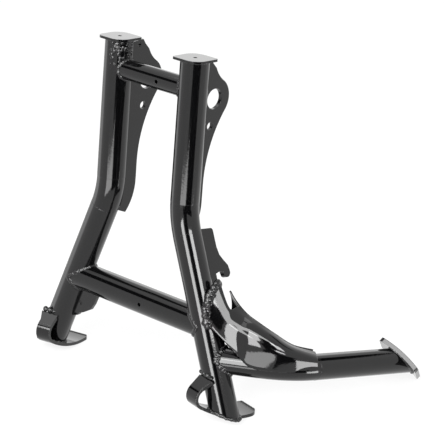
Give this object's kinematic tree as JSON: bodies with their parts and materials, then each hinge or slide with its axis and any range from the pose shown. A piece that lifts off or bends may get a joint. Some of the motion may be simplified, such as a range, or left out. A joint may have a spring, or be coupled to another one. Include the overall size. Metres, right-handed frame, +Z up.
{
  "type": "motorcycle centre stand",
  "caption": "Welded tubular steel motorcycle centre stand with pivot plates, curved feet and a foot lever, gloss black.",
  "frame": {"origin": "centre of the bounding box in plan, at the ground under the feet and the lever's plate", "axes": "+X across the stand to the foot lever's side, along the pivot bores' axis; +Y to the rear, where the pivot lobes and the lever point; +Z up"},
  "size_m": [0.4438, 0.2876, 0.4301],
  "materials": {
    "black_paint": "gloss",
    "painted_weld": "gloss"
  },
  "bodies": {
    "root": {"left_leg": "black_paint", "right_leg": "black_paint", "left_cap_plate": "black_paint", "right_cap_plate": "black_paint", "upper_cross_tube": "black_paint", "lower_cross_tube": "black_paint", "left_pivot_plate": "black_paint", "right_pivot_plate": "black_paint", "left_foot": "black_paint", "right_foot": "black_paint", "spring_hook": "black_paint", "stop_plate": "black_paint", "lever_tube": "black_paint", "gusset_front": "black_paint", "gusset_back": "black_paint", "pedal_plate": "black_paint", "left_upper_weld": "painted_weld", "right_upper_weld": "painted_weld", "left_lower_weld": "painted_weld", "right_lower_weld": "painted_weld", "left_foot_weld": "painted_weld", "right_foot_weld": "painted_weld", "left_plate_weld": "painted_weld", "right_plate_weld": "painted_weld", "lever_weld": "painted_weld", "pedal_weld": "painted_weld"}
  },
  "joints": []
}
